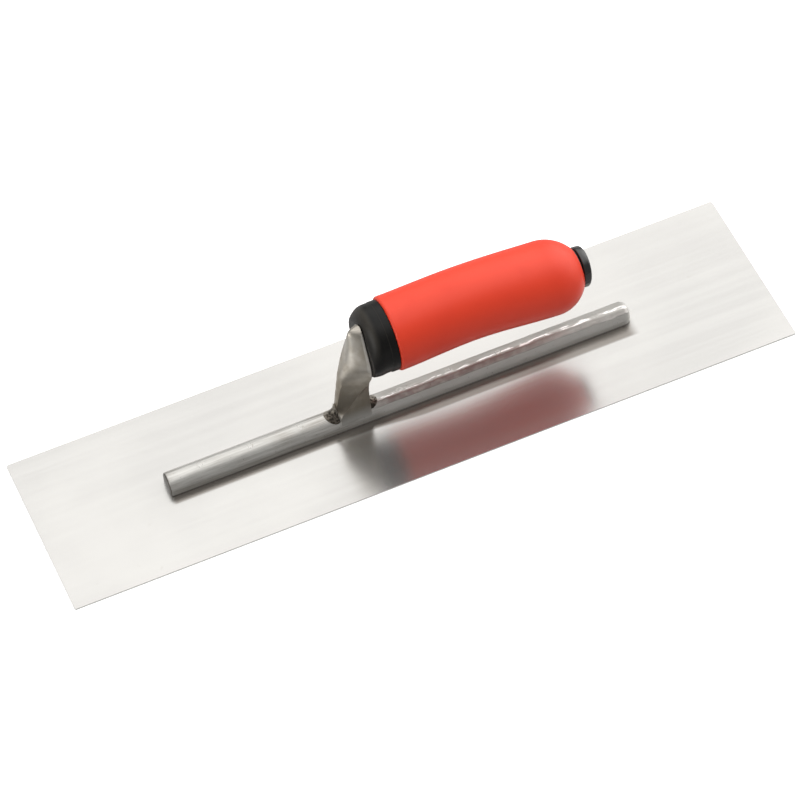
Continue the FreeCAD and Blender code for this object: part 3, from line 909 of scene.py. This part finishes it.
# The soft valley between band and nose: distance ahead of the band, and depth.
VALLEY = [(0.1, 0.04), (-0.1, 0.2), (-0.3, 0.4), (-0.6, 0.5), (-1.0, 0.5), (-1.5, 0.45)]


def collar_ring(x, shrink, roll):
    """One ring, drawn in by shrink mm at its sides and less at its top and bottom.

    On the unit circle that it starts from, pz is -1 at the bottom and 1 at the top.
    """
    ring = []
    for px, py, pz in round_ring(x, 1.0, 0.0):
        top = ease((pz + 0.35) / 1.35)
        keep = 1 - roll * mix(NOSE_ROLL_SIDE, NOSE_ROLL_TOP, top)
        depth = mix(1.0, TAPER_AT_TOP, ease((pz - 0.2) / 0.5))
        depth *= mix(TAPER_AT_BOTTOM, 1.0, ease((pz + 0.98) / 0.4))
        radius = COLLAR_RADIUS * keep - shrink * depth
        ring.append((px, py * radius, COLLAR_HEIGHT - COLLAR_SINK + pz * radius))
    return ring


def collar_rings():
    front, rear = COLLAR_LOW.x, COLLAR_HIGH.x
    rings = [collar_ring(rear, 3.0, 0), collar_ring(rear, 0.6, 0)]
    rings += [collar_ring(rear - 0.2, 0.15, 0), collar_ring(rear - 0.6, 0, 0)]
    rings += [collar_ring(mix(rear - 1, BAND_FRONT_X + 0.4, i / 5), 0, 0) for i in range(6)]
    for offset, depth in VALLEY:
        rings.append(collar_ring(BAND_FRONT_X + offset, depth, 0))
    nose_start = BAND_FRONT_X + VALLEY[-1][0] - 0.4
    for i in range(29):
        share = math.sin(math.radians(90) * i / 28)
        roll = 1 - math.sqrt(max(1 - share ** NOSE_SHAPE, 0.0))
        valley = VALLEY[-1][1] * (1 - ease(share * 1.7))
        tail = EDGE_BREAK * max(0.0, (share - 0.93) / 0.07) ** 2
        rings.append(collar_ring(mix(nose_start, front, share), tail + valley, roll))
    rings.append(collar_ring(front, 3.0, 1.0))
    return rings


collar = skin("black_collar", collar_rings(), BLACK_COLLAR, math.radians(50))
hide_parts("nose_collar")
print("collar from", round(COLLAR_LOW.x, 1), "to", round(COLLAR_HIGH.x, 1), "mm")

# %% [markdown]
# ## The end cap
# A glossy button presses into the butt. A lathe profile spun round the handle's axis
# gives it: a small under-cut where it meets the rubber, a rounded rim, and a face that
# is dished by two tenths, as moulded discs are.

# %% End cap
CAP_RADIUS = (CAP_HIGH.y - CAP_LOW.y) / 2
CAP_SEAT_X = SLEEVE_REAR_X - 0.35
CAP_DEPTH = CAP_HIGH.x - CAP_SEAT_X
CAP_TILT = math.radians(-8)
# Rows are: distance out from the seat, and radius.
CAP_PROFILE = [
    (-3.6, 5.8), (-3.6, 7.0), (-0.2, 7.0), (-0.1, CAP_RADIUS - 0.7), (0.25, CAP_RADIUS - 0.35),
    (0.5, CAP_RADIUS - 0.08), (0.8, CAP_RADIUS), (CAP_DEPTH - 1.1, CAP_RADIUS),
    (CAP_DEPTH - 0.7, CAP_RADIUS - 0.08), (CAP_DEPTH - 0.32, CAP_RADIUS - 0.32),
    (CAP_DEPTH - 0.08, CAP_RADIUS - 0.7), (CAP_DEPTH, CAP_RADIUS - 1.1),
    (CAP_DEPTH - 0.03, CAP_RADIUS - 1.6), (CAP_DEPTH - 0.14, 6.0), (CAP_DEPTH - 0.2, 2.0),
]


def cap_rings():
    centre = Vector((CAP_SEAT_X, 0, line_height(SLEEVE_REAR_X)))
    axis = Vector((math.cos(CAP_TILT), 0, math.sin(CAP_TILT)))
    across = Vector((0, -1, 0))
    up = Vector((-axis.z, 0, axis.x))
    turns = [math.tau * i / 72 for i in range(72)]
    spokes = [across * math.cos(turn) + up * math.sin(turn) for turn in turns]
    return [[centre + axis * out + radius * spoke for spoke in spokes] for out, radius in CAP_PROFILE]


cap = skin("end_cap_button", cap_rings(), GLOSS_CAP, math.radians(55))
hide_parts("end_cap")
print("cap radius", round(CAP_RADIUS, 2), "mm, stands out", round(CAP_DEPTH, 2), "mm")

# %% [markdown]
# ## The forged neck
# The neck is a bar, hammered out into a shoulder at its top. From the front it is a
# long leaf: its rounded face starts narrow on the rib, is widest behind the collar's
# lower edge, and closes to an arch. A ridge runs down each side from the collar to the
# foot, and flat cheeks lie behind it. Each level section is drawn as three runs of
# points: the front face from ridge to ridge, then a cheek and the back on each side.

# %% Neck shape
# Rows are: height, front x, ridge x, ridge half width, back half width.
NECK_TABLE = [
    (4.4, -38.4, -36.8, 6.0, 6.0),
    (6.0, -38.4, -36.8, 6.06, 6.06),
    (7.0, -38.3, -36.7, 5.85, 5.85),
    (8.0, -38.3, -36.6, 5.6, 5.58),
    (10.0, -38.2, -36.3, 5.3, 5.25),
    (12.0, -38.2, -35.6, 5.15, 5.0),
    (16.0, -38.0, -32.2, 5.1, 4.7),
    (21.0, -37.4, -28.8, 5.5, 4.8),
    (26.0, -36.9, -25.8, 6.2, 5.2),
    (31.0, -36.2, -23.0, 7.3, 6.2),
    (35.0, -35.2, -21.1, 8.7, 7.8),
    (39.0, -34.2, -20.2, 10.3, 10.0),
    (44.0, -32.6, -20.0, 11.9, 11.9),
    (49.0, -30.9, -20.0, 12.8, 12.8),
    (53.0, -29.6, -20.0, 12.2, 12.2),
    (57.0, -28.6, -20.0, 10.7, 10.7),
    (60.5, -27.9, -20.0, 9.0, 9.0),
    (63.0, -27.4, -20.0, 7.8, 7.8),
    (65.5, -27.0, -20.0, 6.6, 6.6),
    (68.0, -26.5, -20.0, 5.1, 5.1),
    (69.3, -25.9, -20.0, 3.9, 3.9),
    (70.2, -25.1, -20.1, 2.7, 2.7),
    (70.7, -24.2, -20.2, 1.4, 1.4),
]
FACE_ARC = math.radians(40)
# The hammer marks' corners, on a face that runs from -1 at one ridge to 1 at the other.
HAMMER_CORNERS = (-1.0, -0.36, 0.36, 1.0)
HAMMER_SHARE = 0.75
NECK_BACK = NECK_BACK_X + 0.1
NECK_MIDDLE_X = -27.0


def face_point(front, ridge, half, t):
    """A point of the rounded front face, from the ridge at -1 to the ridge at 1."""
    deep = (1 - math.cos(FACE_ARC * t)) / (1 - math.cos(FACE_ARC))
    return Vector((mix(front, ridge, deep), half * math.sin(FACE_ARC * t) / math.sin(FACE_ARC)))


def hammered_face(front, ridge, half, flatness):
    """The front face, flattened towards three long hammer marks low on the neck."""
    corners = [face_point(front, ridge, half, t) for t in HAMMER_CORNERS]
    points = []
    for i in range(37):
        step = min(i // 12, 2)
        share = (i - 12 * step) / 12
        chord = corners[step].lerp(corners[step + 1], share)
        t = mix(HAMMER_CORNERS[step], HAMMER_CORNERS[step + 1], share)
        points.append(tuple(face_point(front, ridge, half, t).lerp(chord, flatness)))
    return points


def neck_ring(height):
    """One level section of the neck, uneven from the hammer but flat at its back."""
    front, ridge, ridge_half, back_half = between(NECK_TABLE, height)
    face = hammered_face(front, ridge, ridge_half, HAMMER_SHARE * ease((42 - height) / 18))
    cheek = [(mix(ridge, NECK_BACK - 0.6, i / 8), mix(ridge_half, back_half, i / 8)) for i in range(1, 9)]
    back = [(NECK_BACK - 0.15, back_half - 0.25), (NECK_BACK, back_half - 0.8)]
    back += [(NECK_BACK, (back_half - 0.8) * (1 - i / 4)) for i in range(1, 4)]
    half = cheek + back
    flat = face + half + [(x, -y) for x, y in half[::-1]]
    ring = []
    for x, y in flat:
        bump = lumps(x, y, height, 7.0, 3.0) * 0.22 + lumps(x, y, height, 3.0, 8.0) * 0.07
        push = Vector((x - NECK_MIDDLE_X, y * 1.6)).normalized() * bump
        ring.append((min(x + push.x, NECK_BACK), y + push.y, height))
    return ring


# %% Neck mesh
NECK_FOOT, NECK_ARCH, NECK_TOP = NECK_TABLE[0][0], 62.0, NECK_TABLE[-1][0]
NECK_SHARP = math.radians(19)
neck_levels = [mix(NECK_FOOT, NECK_ARCH, i / 126) for i in range(127)]
neck_levels += [mix(NECK_ARCH + 0.4, NECK_TOP, i / 36) for i in range(37)]
neck = skin("neck_forging", [neck_ring(z) for z in neck_levels], NECK_STEEL, NECK_SHARP)
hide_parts("shank")
print("neck faces:", len(neck.data.polygons))

# %% [markdown]
# ## The weld
# The foot was welded to the rib at its front and at its heel. A bead is a concave
# fillet that climbs the neck and spreads over the bar, with a rough dark crust. It is
# swept round part of the foot: at each place a small outline runs from the neck down
# to the bar and closes inside the metal, and noise roughens what shows.

# %% Bead shape
# A bead stops short of the bar's sides. Its rough skin starts a hair above the bar.
BEAD_HALF = 6.1
BEAD_LIFT = 0.05


def bar_top(x, y):
    """Height of the rib's skin at x, y, on or beside its crown."""
    return rivet_top(x, max(min(y, RIB_HALF - 0.02), 0.02 - RIB_HALF))


def bead_rings(middle_x, half_length, half_width, start, end, reach, climb, rough, seed):
    """A fillet round the foot from one compass angle to another, thinning at its ends."""
    rings = []
    for i in range(49):
        share = i / 48
        angle = math.radians(mix(start, end, share))
        out = Vector((math.cos(angle), math.sin(angle)))
        thin = max(math.sin(math.pi * share), 0.0) ** 0.8
        foot = Vector((middle_x + half_length * out.x, half_width * out.y))
        ring = []
        for j in range(13):
            turn = math.radians(90) * j / 12
            away = reach * thin * (1 - math.sin(turn))
            rise = climb * thin * (1 - math.cos(turn))
            spot = foot + out * away
            spot.y = max(min(spot.y, BEAD_HALF), -BEAD_HALF)
            crust = (lumps(spot.x, spot.y, rise, 1.1, seed) + lumps(spot.x, spot.y, rise, 2.9, seed)) * rough
            base = bar_top(spot.x, spot.y)
            lift = BEAD_LIFT + abs(crust) * thin * math.sin(math.radians(180) * (j + 0.5) / 13.5)
            ring.append((spot.x + out.x * crust * 0.3, spot.y + out.y * crust * 0.3, base + rise + lift))
        inner = foot - out * 0.8
        ring.append((inner.x, inner.y, ring[-1][2] - 0.3))
        ring.append((inner.x, inner.y, bar_top(inner.x, inner.y) - 0.6))
        low = foot + out * reach * thin * 0.9
        low.y = max(min(low.y, BEAD_HALF - 0.3), 0.3 - BEAD_HALF)
        ring.append((low.x, low.y, bar_top(low.x, low.y) - 0.5))
        rings.append(ring)
    return rings


print("a bead is at most", 2 * BEAD_HALF, "mm wide on a bar of", round(2 * RIB_HALF, 1), "mm")

# %% Weld beads
BEAD_SHARP = math.radians(60)
toe = bead_rings(middle_x=-33.9, half_length=4.4, half_width=4.0, start=105, end=250,
                 reach=5.8, climb=7.0, rough=0.3, seed=2.0)
heel = bead_rings(middle_x=-22.6, half_length=3.2, half_width=3.3, start=-70, end=78,
                  reach=5.0, climb=2.4, rough=0.34, seed=6.0)
front_bead = skin("front_weld_bead", toe, WELD_SCALE, BEAD_SHARP)
rear_bead = skin("rear_weld_bead", heel, WELD_SCALE, BEAD_SHARP)
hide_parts("weld_front")
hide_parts("weld_rear")
print("weld beads:", front_bead.name, rear_bead.name)

# %% [markdown]
# ## Floor
# The tool lies on a plain white sweep. To the eye it is bright white, so that the
# tool has a clean ground. To the tool it is a middle grey, because a white floor
# would fill the shadows that shape the rib and the handle. The light path tells the
# material who is looking.

# %% Floor
FLOOR_DROP = 0.05 * MM
FLOOR_SIZE = 6.0
FLOOR_WHITE, FLOOR_BOUNCE, FLOOR_LIFT = (0.93, 0.93, 0.93, 1), (0.4, 0.4, 0.4, 1), (0.5, 0.5, 0.5, 1)


def make_floor():
    bpy.ops.mesh.primitive_plane_add(size=FLOOR_SIZE, location=(0, 0, -FLOOR_DROP))
    floor = bpy.context.object
    floor.name = "floor"
    finish, tree, shader = new_finish("white sweep", Roughness=0.9, Specular_IOR_Level=0.1,
                                      Emission_Strength=1.0)
    seen = add(tree, "ShaderNodeLightPath").outputs["Is Camera Ray"]
    tree.links.new(blend(tree, seen, FLOOR_BOUNCE, FLOOR_WHITE), shader.inputs["Base Color"])
    tree.links.new(blend(tree, seen, (0, 0, 0, 1), FLOOR_LIFT), shader.inputs["Emission Color"])
    floor.data.materials.append(finish)
    floor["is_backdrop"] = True
    return floor


make_floor()
print("floor", FLOOR_SIZE, "m wide, under the blade by", round(FLOOR_DROP / MM, 2), "mm")

# %% [markdown]
# ## Studio light
# Bare steel shows whatever surrounds it, so the light matters more than the metal. It
# could come from lamps, but here the sky itself holds three soft boxes that fade at
# their edges, so that no hard patch shows in the steel. The main one is high up and
# behind the tool, where the blade mirrors it towards the camera. The other two stand
# low at both ends, and the dim side towards the camera darkens the rib's flanks.

# %% Studio light
SOFT_BOX_DIRECTION = Vector((0.12, 0.38, 0.92)).normalized()
LEFT_BOX_DIRECTION = Vector((-0.98, -0.1, 0.1)).normalized()
RIGHT_BOX_DIRECTION = Vector((0.92, 0.25, 0.32)).normalized()
ROOM_LIGHT = 0.33
# Rows are: direction, cosine at the faded edge, cosine at the full centre, brightness.
LIGHT_BOXES = [
    (SOFT_BOX_DIRECTION, 0.42, 0.96, 1.43),
    (LEFT_BOX_DIRECTION, 0.86, 1.0, 3.0),
    (RIGHT_BOX_DIRECTION, 0.65, 1.0, 1.9),
]


def make_studio_light():
    world = bpy.data.worlds.new("studio")
    scene.world = world
    world.use_nodes = True
    tree = world.node_tree
    direction = add(tree, "ShaderNodeTexCoord").outputs["Generated"]
    glow = ROOM_LIGHT
    for towards, edge, centre, light in LIGHT_BOXES:
        facing = add(tree, "ShaderNodeVectorMath", {0: direction, 1: towards}, operation="DOT_PRODUCT")
        glow = math_node(tree, "ADD", remap(tree, facing.outputs["Value"], edge, centre, 0.0, light), glow)
    background = tree.nodes["Background"]
    background.inputs["Color"].default_value = (1.0, 0.995, 0.985, 1)
    tree.links.new(glow, background.inputs["Strength"])


make_studio_light()
scene.view_settings.view_transform = "Standard"
print("soft boxes:", len(LIGHT_BOXES), "in a room of", ROOM_LIGHT)

# %% [markdown]
# ## Check the size
# The looks must not change the tool's real size, so the box round the finished model
# is compared with the box of the CAD model, and the largest difference is printed.

# %% Size
LOOK_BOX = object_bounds()
moved = [abs(a - b) for c, d in zip(CAD_BOX, LOOK_BOX) for a, b in zip(c, d)]
print("box differs by at most", round(max(moved) / MM, 2), "mm")
